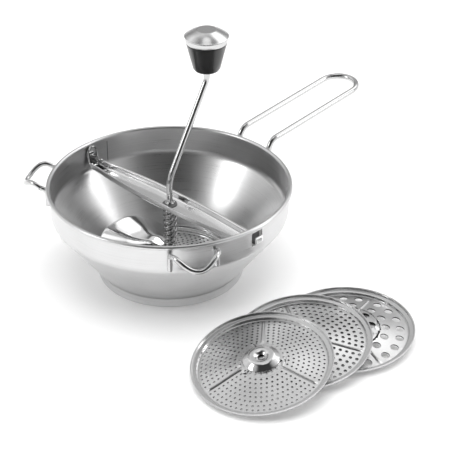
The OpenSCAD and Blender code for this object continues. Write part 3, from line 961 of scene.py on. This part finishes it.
        # Painted shade: a dark plate behind the window makes the gap there read black, where there
        # is only shade.
        stop = Bench.block(self.shade_plate_size, self.shade_plate_at, 0.5)
        stop.name = stop.data.name = "bar_window_shade_plate"
        wardrobe.dress(Bench.smooth(stop), "bushing_plastic", "bar")
        rivet = [(2.7, 73.75), (2.65, 74.2), (2.2, 74.7), (1.3, 74.95), (0.3, 75.0)]
        shank = [(1.5, 71.4), (1.5, 73.8)]
        under = [(0.3, 71.0), (1.6, 71.0), (2.5, 71.3), (2.6, 72.0)]
        head = Bench.turned("latch_rivet_head", under + shank + rivet, 32, Ends.CAPPED, (0, 95))
        wardrobe.dress(head, "rod_chrome", "bar", "latch_rivet")


@dataclass
class Crank:
    """Bent crank rod with its retaining ring, hub and spring.

    Attributes:
        rod_r: Rod radius.
        throw: Sideways offset of the knob.
        low_r: Radius of the lower bend.
        high_r: Radius of the upper bend.
        low_h: Height of the lower corner.
        top_h: Height of the upper corner.
        foot: Lower end of the rod.
        top: Upper end of the rod.
        spring_r: Radius of the spring's centre line.
        wire_r: Radius of its wire.
        spring_low: Height of its lower end.
        spring_top: Height of its upper end.
        spring_turns: Number of its open turns.
    """

    rod_r: float = 3
    throw: float = 53
    low_r: float = 30
    high_r: float = 16
    low_h: float = 100
    top_h: float = 190
    foot: float = 17.6
    top: float = 223.1
    spring_r: float = 6
    wire_r: float = 0.9
    spring_low: float = 24.6
    spring_top: float = 70.5
    spring_turns: int = 7

    def centre_line(self) -> list[tuple[float, float, float]]:
        """Centre line of the whole rod."""
        lean = math.degrees(math.atan2(self.top_h - self.low_h, self.throw))
        turn = 90 - lean
        tangent = math.tan(math.radians(turn / 2))
        low_end = self.low_h - self.low_r * tangent
        high_end = self.top_h + self.high_r * tangent
        flat = [(0, self.foot), (0, low_end - 20)]
        flat += arc((self.low_r, low_end), self.low_r, 180, 180 - turn, 14)
        flat += arc((self.throw - self.high_r, high_end), self.high_r, -turn, 0, 14)
        flat += [(self.throw, self.top)]
        return [(x, 0, z) for x, z in flat]

    def coil(self) -> list[tuple[float, float, float]]:
        """Centre line of the spring, with closed turns at both ends."""
        low = self.spring_low + self.wire_r
        high = self.spring_top - self.wire_r
        per_turn, pad = 20, 0.8
        line = []
        total = (self.spring_turns + 2 * pad) * per_turn
        for i in range(int(total) + 1):
            turns = i / per_turn
            share = min(1.0, max(0.0, (turns - pad) / self.spring_turns))
            z = low + 0.6 * min(turns, pad) + (high - low - 1.2 * pad) * share
            z += 0.6 * max(0.0, turns - pad - self.spring_turns)
            a = 2 * math.pi * turns
            line.append((self.spring_r * math.cos(a), self.spring_r * math.sin(a), z))
        return line

    def build(self, wardrobe: Wardrobe) -> None:
        """Makes the rod, the ring, the hub and the spring."""
        rod = Bench.drawn("crank_rod", self.centre_line(), self.rod_r, resolution=6)
        wardrobe.dress(rod, "rod_chrome", "crank", "shaft", "crank_arm", "knob_spindle")
        ring = [(3, 74.4), (4.5, 74.4), (4.8, 74.7), (4.8, 75.3), (4.5, 75.6), (3, 75.6)]
        wardrobe.dress(Bench.turned("crank_ring", ring), "rod_chrome", "crank",
                       "retaining_ring")
        hub = [(3, 17.7), (8.4, 17.7), (9, 18.2), (9, 22.4), (8.5, 23.2), (7.8, 23.55),
               (3, 23.55)]
        wardrobe.dress(Bench.turned("blade_boss", hub), "blade_steel", "crank", "blade_hub")
        spring = Bench.drawn("return_spring", self.coil(), self.wire_r, resolution=3)
        wardrobe.dress(spring, "spring_steel", "bar", "coil_spring")
        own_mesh(spring)


@dataclass
class Blade:
    """Quarter turn of polished sheet that skims the disc, climbs, and turns down in front.

    Attributes:
        hub_r: Inner radius.
        radius: Outer radius.
        sheet: Sheet thickness.
        start: Direction of the trailing edge in degrees.
        span: Angle that it covers.
        lift: Height of the leading corner.
        hub_h: Height of the hub.
        hub_low: Height of the sheet at the hub.
        crest: Share of the turn after which the sheet climbs no more.
        fold: Share of the turn after which it comes down again.
        nose: How far it comes down at its leading edge.
        flare: How far the leading corner reaches past the radius.
        lip: Depth of the turned-down front lip.
        hub_clear: Radius within which the sheet stays at its height at the hub.
        disc_top: Height of the disc's upper face at its edge.
        dome: Height of the disc's dome above that.
        face_r: Radius at which the dome starts.
        dome_run: Width of the dome's slope.
    """

    hub_r: float = 8.8
    radius: float = 58
    sheet: float = 1.2
    start: float = 45
    span: float = 92
    crest: float = 0.6
    fold: float = 0.8
    nose: float = 0.3
    flare: float = 14
    lift: float = 31
    hub_h: float = 6
    hub_low: float = 17.6
    lip: float = 4.5
    hub_clear: float = 18.5
    disc_top: float = 5
    dome: float = 7.6
    face_r: float = 58
    dome_run: float = 40.5

    def low(self, r: float) -> float:
        """Lowest clear height over the disc at a radius."""
        if r < self.hub_clear:
            return self.hub_low
        share = max(0.0, min(1.0, (self.face_r - r) / self.dome_run))
        face = self.disc_top + self.dome * share
        return max(face + 1, self.hub_low - (r - self.hub_clear) * 0.5)

    def height(self, r: float, t: float) -> float:
        """Height of the sheet's lower face at radius r and share t of the turn."""
        climb = math.sin(math.pi / 2 * min(1.0, t / self.crest))
        climb -= self.nose * max(0.0, (t - self.fold) / (1 - self.fold)) ** 2
        share = (r - self.hub_r) / (self.radius - self.hub_r)
        return self.low(r) + climb * (self.hub_h - self.sheet + share * (self.lift - self.hub_h))

    def reach(self, r: float, t: float) -> float:
        """Radius at share t of the turn of a line that starts at radius r."""
        share = (r - self.hub_r) / (self.radius - self.hub_r)
        return r + self.flare * share ** 2 * max(0.0, (t - 0.45) / 0.55) ** 1.3

    def build(self, wardrobe: Wardrobe) -> None:
        """Shapes the sheet, turns its front lip down, and thickens it."""
        radii = [self.hub_r, 12, 15.5, 18.5, 23, 28, 34, 40, 46, 52, 56, self.radius]
        rows = []
        for i in range(57):
            t = i / 56
            a = math.radians(self.start + self.span * t)
            rows.append([(self.reach(r, t) * math.cos(a), self.reach(r, t) * math.sin(a),
                          self.height(r, t) + self.sheet) for r in radii])
        a = math.radians(self.start + self.span)
        ahead = (-math.sin(a), math.cos(a))
        for k in (0.25, 0.5, 0.75, 1.0):
            rows.append([(self.reach(r, 1) * math.cos(a) + ahead[0] * 1.8 * math.sin(k * 1.2),
                          self.reach(r, 1) * math.sin(a) + ahead[1] * 1.8 * math.sin(k * 1.2),
                          self.height(r, 1) + self.sheet
                          - self.lip * k * min(1.0, max(0.0, (r - 9) / 30)))
                         for r in radii])
        sheet = Bench.lofted("crushing_blade", rows)
        Bench.only(sheet)
        up = sum(polygon.normal.z for polygon in sheet.data.polygons)
        Bench.apply(sheet, "SOLIDIFY", thickness=self.sheet * MM, offset=-1 if up > 0 else 1,
                    use_even_offset=True)
        Bench.tidy(sheet)
        Bench.apply(sheet, "BEVEL", width=0.25 * MM, segments=2, limit_method="ANGLE",
                    angle_limit=math.radians(50))
        Bench.smooth(sheet, 40)
        wardrobe.dress(sheet, "blade_steel", "crank", "blade")


@dataclass
class Knob:
    """Tapered black knob with a chrome ring and a flat-topped chrome cap.

    Attributes:
        at: Sideways place of the knob.
        foot: Height of its lower end.
        foot_r: Radius at the foot.
        top_r: Radius at the top.
        height: Height of the black body.
        ring_r: Radius of the ring.
        ring_h: Height of the ring.
        cap_h: Height of the cap.
        flat_r: Radius of the flat on the cap.
    """

    at: float = 53
    foot: float = 199.6
    foot_r: float = 12.5
    top_r: float = 19.8
    height: float = 29.5
    ring_r: float = 21.35
    ring_h: float = 5.5
    cap_h: float = 7.4
    flat_r: float = 9.2

    def build(self, wardrobe: Wardrobe) -> None:
        """Turns the body, the ring and the cap."""
        z0, z1 = self.foot, self.foot + self.height
        taper = (self.top_r - self.foot_r) / self.height
        body = [(5.2, z0 + 0.4), (8.6, z0), (10.2, z0 + 0.15), (11.6, z0 + 0.8),
                (12.45, z0 + 1.9)]
        body += [(self.foot_r + taper * h, z0 + h) for h in (3.4, 12, 20, 27.6)]
        body += [(self.top_r - 0.15, z1 - 1.0), (self.top_r - 0.45, z1 - 0.3),
                 (self.top_r - 1.0, z1), (5.2, z1)]
        centre = (self.at, 0)
        wardrobe.dress(Bench.turned("knob_grip", body, 96, centre=centre), "knob_plastic",
                       "knob", "knob_body")
        z2 = z1 + self.ring_h
        ring = [(16.8, z1), (19.5, z1), (19.95, z1 + 0.25), (20.1, z1 + 0.8),
                (20.15, z1 + 1.2), (20.75, z2 - 0.8), (20.6, z2 - 0.3), (20.2, z2), (16.8, z2)]
        wardrobe.dress(Bench.turned("knob_collar", ring, 96, centre=centre), "cap_chrome",
                       "knob", "knob_ring")
        rim = self.ring_r
        cap = [(0.6, z2 - 0.2), (20.3, z2 - 0.2), (21.0, z2 - 0.1), (rim, z2 + 0.35),
               (rim - 0.1, z2 + 0.85), (rim - 0.7, z2 + 1.2)]
        crown = self.cap_h - 1.2
        for i in range(1, 14):
            share = i / 13
            cap.append((rim - 0.7 - (rim - 0.7 - self.flat_r) * share,
                        z2 + 1.2 + crown * (share + 0.09 * math.sin(math.pi * share))))
        cap += [(self.flat_r - 0.4, z2 + self.cap_h - 0.02), (4, z2 + self.cap_h - 0.02),
                (0.6, z2 + self.cap_h - 0.02)]
        wardrobe.dress(Bench.turned("knob_dome", cap, 96, Ends.CAPPED, centre), "cap_chrome",
                       "knob", "knob_cap")


@dataclass
class PerforatedDisc:
    """Pressed disc: domed perforated face, three ribs, raised hub and upturned rim.

    Attributes:
        name: Piece name.
        node: CAD node that it replaces.
        body: Body that it rides on.
        hole_d: Hole diameter.
        rings: Number of rings of holes.
        spacing: Distance between holes in a ring.
        turn: Direction of its first rib in degrees.
        low_at: Where the disc's centre would stand if it lay flat.
        tilt: Lean in degrees, about its low edge.
        base: Height at which it lies.
        sides: Corners of each hole, a multiple of four.
        radius: Outer radius of the rim.
        face_r: Outer radius of the perforated face.
        hub_r: Inner radius of the perforated face.
        hub_top_r: Radius of the hub's flat top.
        bore_r: Radius of the hole in the hub.
        sheet: Sheet thickness.
        dome: Height of the face's dome.
        hub_h: Height of the hub above the dome.
        rib_w: Width of a rib.
        rib_rise: Height of a rib.
        rib_ends: Radii between which a rib runs.
        gutter: Gap between two rings of holes before they are bridged.
    """

    name: str
    node: str
    body: str
    hole_d: float
    rings: int
    spacing: float
    turn: float = 0
    low_at: tuple[float, float] = (0, 0)
    tilt: float = 0
    base: float = 0
    sides: int = 12
    radius: float = 65
    face_r: float = 58
    hub_r: float = 17.5
    hub_top_r: float = 11.5
    bore_r: float = 4
    sheet: float = 1
    dome: float = 7.6
    hub_h: float = 4
    rib_w: float = 3.2
    rib_rise: float = 1.15
    rib_ends: tuple[float, float] = (20, 56)
    gutter: float = 0.3

    def lift(self, r: float) -> float:
        """Height of the upper face at a radius, below the hub's foot level."""
        share = max(0.0, min(1.0, (self.face_r - r) / (self.face_r - self.hub_r)))
        return self.dome * (share + 0.05 * math.sin(2 * math.pi * share) * -0.5)

    def hole_cell(self, r: float, half_r: float, turn: float, half_a: float) -> None:
        """Adds one hole in edit mode and draws its edge out to a piece of ring.

        Args:
            r: Middle radius of the ring.
            half_r: Half its width.
            turn: Direction of the hole in radians.
            half_a: Half the angle that the cell covers.
        """
        bpy.ops.mesh.primitive_circle_add(vertices=self.sides, radius=self.hole_d / 2 * MM)
        quarter = self.sides // 4
        mesh = bmesh.from_edit_mesh(bpy.context.object.data)
        for i, vertex in enumerate(v for v in mesh.verts if v.select):
            a = 2 * math.pi * i / self.sides + math.pi / 4
            x, y = (r * MM + self.hole_d / 2 * MM * math.cos(a),
                    self.hole_d / 2 * MM * math.sin(a))
            vertex.co = Matrix.Rotation(turn, 3, "Z") @ Vector((x, y, 0))
        bpy.ops.mesh.extrude_region_move()
        mesh = bmesh.from_edit_mesh(bpy.context.object.data)
        hole = Matrix.Rotation(-turn, 3, "Z")
        for vertex in (v for v in mesh.verts if v.select):
            place = hole @ vertex.co - Vector((r * MM, 0, 0))
            step = round((math.atan2(place.y, place.x) - math.pi / 4)
                         / (2 * math.pi / self.sides)) % self.sides
            side, part = divmod(step, quarter)
            run = 1 - 2 * part / quarter
            u, v = ((run, 1), (-1, run), (-run, -1), (1, -run))[side]
            out, a = (r + u * half_r) * MM, turn + v * half_a
            vertex.co = (out * math.cos(a), out * math.sin(a), 0)
        bpy.ops.mesh.select_linked()

    def rib_cell(self, r: float, half_r: float, half_a: float) -> None:
        """Adds one unpierced piece of ring with the ridge of a rib along its middle."""
        quarter = self.sides // 4
        columns = (-1.0, -0.56, -0.4, -0.2, 0.0, 0.2, 0.4, 0.56, 1.0)
        bpy.ops.mesh.primitive_grid_add(x_subdivisions=quarter, y_subdivisions=8, size=2)
        mesh = bmesh.from_edit_mesh(bpy.context.object.data)
        for vertex in (v for v in mesh.verts if v.select):
            column = columns[round((vertex.co.y + 1) * 4)]
            out = r + vertex.co.x * half_r
            width = math.asin(min(1, self.rib_w / 2 / out)) * 1.8 * column
            a = width if abs(column) < 1 else math.copysign(half_a, column)
            first, last = self.rib_ends
            ridge = self.rib_rise * eased(first, first + 2.5, out) * eased(last, last - 2.5, out)
            rise = ridge * max(0.0, 1 - abs(column / 0.56) ** 1.7)
            vertex.co = Vector((out * math.cos(a) * MM, out * math.sin(a) * MM, rise * MM))

    def face(self) -> None:
        """Fills the face in edit mode, ring by ring, for all three sectors."""
        pitch = (self.face_r - self.hub_r) / self.rings
        half_r = pitch / 2 - self.gutter / 2
        for i in range(self.rings):
            r = self.hub_r + pitch * (i + 0.5)
            blank = math.asin((self.rib_w / 2 + 0.9) / r)
            third = 2 * math.pi / 3
            count = max(2, round(r * (third - 2 * blank) / self.spacing))
            half_a = (third - 2 * blank) / count / 2
            for k in range(count):
                self.hole_cell(r, half_r, blank + half_a * (2 * k + 1), half_a)
            self.rib_cell(r, half_r, blank)

    def spread(self) -> None:
        """Copies the first sector round the disc and merges the seams."""
        obj = bpy.context.object
        mesh = bmesh.from_edit_mesh(obj.data)
        bpy.ops.mesh.select_all(action="SELECT")
        geometry = mesh.verts[:] + mesh.edges[:] + mesh.faces[:]
        for turn in (120, 240):
            copy = bmesh.ops.duplicate(mesh, geom=geometry)
            bmesh.ops.rotate(
                mesh, verts=[g for g in copy["geom"] if isinstance(g, bmesh.types.BMVert)],
                cent=(0, 0, 0), matrix=Matrix.Rotation(math.radians(turn), 3, "Z"))
        bmesh.update_edit_mesh(obj.data)
        bpy.ops.mesh.select_all(action="SELECT")
        bpy.ops.mesh.remove_doubles(threshold=0.004 * MM)

    def bridge(self, low: float, high: float) -> None:
        """Bridges the two open loops whose radii lie between low and high."""
        bpy.ops.mesh.select_mode(type="EDGE")
        bpy.ops.mesh.select_all(action="DESELECT")
        mesh = bmesh.from_edit_mesh(bpy.context.object.data)
        for edge in mesh.edges:
            reach = [v.co.xy.length / MM for v in edge.verts]
            if edge.is_boundary and all(low <= x <= high for x in reach):
                edge.select = True
        mesh.select_flush_mode()
        bmesh.update_edit_mesh(bpy.context.object.data)
        bpy.ops.mesh.bridge_edge_loops()
        bpy.ops.mesh.select_mode(type="VERT")

    def rim_and_hub(self) -> None:
        """Adds the rings of the rim and of the hub in edit mode and draws them out."""
        top = self.radius - self.sheet
        rim = [(self.face_r + 0.15, 0), (58.9, 0.12), (59.3, 0.6), (59.5, 1.7), (59.9, 2.3),
               (60.7, 2.5), (62.6, 2.5), (63.3, 2.7), (63.65, 3.3), (top, 4.5), (top, 5)]
        foot = self.hub_r - 0.15
        hub = [(foot, 0), (foot - 1, 0.35), (foot - 1.7, 0.9), (self.hub_top_r + 0.8, 3.3),
               (self.hub_top_r + 0.3, 3.75), (self.hub_top_r - 0.4, self.hub_h),
               (self.bore_r + 3.2, self.hub_h), (self.bore_r + 2.4, self.hub_h - 0.25),
               (self.bore_r + 0.5, self.hub_h - 1.2), (self.bore_r, self.hub_h - 1.8)]
        for profile in (rim, hub):
            bpy.ops.mesh.primitive_circle_add(vertices=96, radius=profile[0][0] * MM)
            Bench.draw_ring(profile)

    def mark(self, obj: bpy.types.Object) -> None:
        """Writes a face attribute: 1 on the rim and the hub, 2 on the walls of the holes, painted
        dark as shade.
        """
        polish_and_shade_zone = obj.data.attributes.new("polish_and_shade_zone", "FLOAT", "FACE")
        for polygon in obj.data.polygons:
            reach = [obj.data.vertices[i].co.xy.length / MM for i in polygon.vertices]
            middle = sum(reach) / len(reach)
            flat = abs(polygon.normal.z)
            if middle < self.hub_r - 0.2 or middle > self.face_r and flat < 0.9:
                polish_and_shade_zone.data[polygon.index].value = PRESS_RIM
            elif flat < 0.5:
                polish_and_shade_zone.data[polygon.index].value = PRESS_SHADED_WALL

    def build(self, wardrobe: Wardrobe) -> None:
        """Makes the pressed disc and puts it in its place."""
        Bench.clear()
        bpy.ops.mesh.primitive_circle_add(vertices=4, radius=1 * MM)
        obj = Bench.named(self.name)
        bpy.ops.object.mode_set(mode="EDIT")
        bpy.ops.mesh.select_all(action="SELECT")
        bpy.ops.mesh.delete(type="VERT")
        self.face()
        self.spread()
        pitch = (self.face_r - self.hub_r) / self.rings
        self.rim_and_hub()
        for i in range(self.rings + 1):
            r = self.hub_r + pitch * i
            self.bridge(r - 0.2, r + 0.2)
        bpy.ops.mesh.select_all(action="SELECT")
        bpy.ops.mesh.normals_make_consistent(inside=False)
        bpy.ops.object.mode_set(mode="OBJECT")
        for vertex in obj.data.vertices:
            vertex.co.z += (self.lift(vertex.co.xy.length / MM) + self.sheet) * MM
        up = sum(polygon.normal.z for polygon in obj.data.polygons)
        if up < 0:
            obj.data.flip_normals()
        Bench.apply(obj, "SOLIDIFY", thickness=self.sheet * MM, offset=-1)
        self.mark(obj)
        Bench.smooth(obj, 35)
        place = Matrix.Translation((0, 0, self.base * MM))
        if self.tilt:
            low = Matrix.Translation(((self.low_at[0] - self.radius) * MM,
                                      self.low_at[1] * MM, 0))
            lean = Matrix.Rotation(math.radians(-self.tilt), 4, "Y")
            place = low @ lean @ Matrix.Translation((self.radius * MM, 0, 0))
        obj.data.transform(place @ Matrix.Rotation(math.radians(self.turn), 4, "Z"))
        wardrobe.dress(obj, "disc_steel", self.body, self.node)


@dataclass(frozen=True)
class Softbox:
    """A soft studio light.

    Attributes:
        name: Light name.
        at: Place in metres.
        aim: Point that it faces.
        size: Width and height in metres.
        power: Power in watts.
        shines: Whether polished metal mirrors it.
    """

    name: str
    at: tuple[float, float, float]
    aim: tuple[float, float, float]
    size: tuple[float, float]
    power: float
    shines: bool = True

    def hang(self) -> None:
        """Adds the light."""
        data = bpy.data.lights.new(self.name, "AREA")
        data.shape = "RECTANGLE"
        data.size, data.size_y = self.size
        data.energy = self.power
        lamp = bpy.data.objects.new(self.name, data)
        bpy.context.scene.collection.objects.link(lamp)
        lamp.location = self.at
        lamp.visible_glossy = self.shines
        lamp.rotation_euler = (Vector(self.aim) - Vector(self.at)).to_track_quat(
            "-Z", "Y").to_euler()


@dataclass
class Studio:
    """Pale floor, soft lights, bright walls and the camera.

    Attributes:
        camera_at: Camera place in millimetres.
        camera_aim: Point that it looks at in millimetres.
        lens: Focal length in millimetres on a 36 mm sensor.
        floor_size: Side of the floor in metres.
        floor_glow: Light that the lit floor gives by itself.
        far_side: Direction of the bright wall in degrees.
        far_glow: Brightness of that wall.
        card_way: Direction and height in degrees of the bright card at the right.
        card_glow: Brightness of that card.
        band_scale: How many soft bands the wall's light falls in.
        side_glow: Brightness of the two side walls.
        horizon_glow: Brightness of the room low down.
        zenith_glow: Brightness straight above.
        dim: Brightness of the rest of the room.
        boxes: The softboxes.
    """

    camera_at: tuple[float, float, float] = (-878.36, -917.31, 818.32)
    camera_aim: tuple[float, float, float] = (37.5, -39.1, 49.0)
    lens: float = 120
    floor_size: float = 9
    floor_glow: float = 0.12
    far_side: float = 46
    far_glow: float = 0.8
    card_way: tuple[float, float] = (0, 47)
    card_glow: float = 1.0
    band_scale: float = 2.6
    side_glow: float = 0.5
    horizon_glow: float = 0.3
    zenith_glow: float = 1.0
    dim: float = 0.05
    boxes: list[Softbox] = field(default_factory=lambda: [
        Softbox("key_box", (-1.7, 0.9, 1.3), (0, 0, 0.05), (0.6, 1.0), 9),
        Softbox("top_box", (-0.25, -0.25, 2.5), (-0.05, -0.05, 0), (2.3, 2.3), 47, False),
        Softbox("side_box", (1.3, -1.3, 0.9), (0, 0, 0.05), (0.35, 1.0), 4),
    ])

    def build(self) -> None:
        """Sets the room, the lights and the camera."""
        self.room()
        for box in self.boxes:
            box.hang()
        data = bpy.data.cameras.new("studio_camera")
        data.lens = self.lens
        data.sensor_width = 36
        camera = bpy.data.objects.new("studio_camera", data)
        bpy.context.scene.collection.objects.link(camera)
        at, aim = (Vector(p) * MM for p in (self.camera_at, self.camera_aim))
        camera.location = at
        camera.rotation_euler = (aim - at).to_track_quat("-Z", "Y").to_euler()
        bpy.context.scene.camera = camera

    def room(self) -> None:
        """Lays the floor and lights the room, which the camera itself sees as plain white."""
        Bench.clear()
        bpy.ops.mesh.primitive_plane_add(size=self.floor_size)
        floor = Bench.named("studio_floor")
        work = ShaderBench("studio_floor_paint")
        tint = work.noise(work.place, 2, 2)
        floor.data.materials.append(work.set(
            Base_Color=work.shade(tint, [0.90] * 3, [0.92] * 3), Roughness=0.8,
            Specular_IOR_Level=0.1, Emission_Color=(1, 1, 1, 1),
            Emission_Strength=self.floor_glow))
        world = bpy.context.scene.world or bpy.data.worlds.new("studio_air")
        bpy.context.scene.world = world
        world.use_nodes = True
        air = NodeBench(world.node_tree, "Generated")
        far = math.radians(self.far_side)
        away = air.x * math.cos(far) + air.y * math.sin(far)
        across = air.x * math.sin(far) - air.y * math.cos(far)
        way, rise = (math.radians(a) for a in self.card_way)
        aimed = (air.x * (math.cos(way) * math.cos(rise))
                 + air.y * (math.sin(way) * math.cos(rise)) + air.z * math.sin(rise))
        card = aimed.ramp(0.93, 0.97, 0, self.card_glow)
        bands = air.noise(air.vector(air.x, air.y, 0.0), self.band_scale, 2, 0.5)
        wall = away.ramp(-0.25, 0.5, 0, self.far_glow) * air.z.ramp(0.4, 0.7, 0.4, 1)
        wall = wall * bands.ramp(0.35, 0.65, 0.75, 1.25)
        sides = across.maths("ABSOLUTE").ramp(0.4, 0.65, 0, self.side_glow)
        horizon = air.z.ramp(0.0, 0.16, self.horizon_glow, 0)
        zenith = air.z.ramp(0.965, 0.992, 0, self.zenith_glow)
        glow = wall + sides + horizon + zenith + card + self.dim
        seen = air.add("ShaderNodeLightPath", {}, {}, "Is Camera Ray")
        strength = air.add("ShaderNodeMix", {"data_type": "FLOAT"}, {0: seen, 2: glow, 3: 1.0})
        sky = air.add("ShaderNodeBackground", {}, {"Color": (1, 1, 1, 1), "Strength": strength})
        output = air.tree.nodes.new("ShaderNodeOutputWorld")
        air.tree.links.new(sky.socket, output.inputs[0])
        bpy.context.scene.view_settings.view_transform = "Standard"


def main() -> None:
    """Builds every sub-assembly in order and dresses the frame."""
    logging.basicConfig(level=logging.INFO, format="%(name)s %(message)s")
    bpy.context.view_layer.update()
    wardrobe = Wardrobe(Finishes())
    parts: list[object] = [
        Bowl(),
        Handle(),
        PotHook("pot_hook_wire_left", "pot_hook_left", 123.7),
        PotHook("pot_hook_wire_right", "pot_hook_right", -123.7),
        CrossBar(),
        Crank(),
        Blade(),
        Knob(),
        PerforatedDisc("sieve_plate", "sieve_disc", "bowl_disc", 2.4, 8, 5.5, 60, base=4),
        PerforatedDisc("fine_plate", "spare_disc_fine", "fine_disc", 2, 9, 5, 41,
                       (-70.6, -190.8), 11.18),
        PerforatedDisc("medium_plate", "spare_disc_medium", "medium_disc", 3.2, 7, 6.3, 57,
                       (-18.6, -192), 8.2),
        PerforatedDisc("coarse_plate", "spare_disc_coarse", "coarse_disc", 8, 3, 15.5, 14.5,
                       (29.5, -203), 3, sides=24),
    ]
    for part in parts:
        LOG.info("building %s", type(part).__name__)
        part.build(wardrobe)
    wardrobe.carry_over()
    Studio().build()


if __name__ == "__main__":
    main()
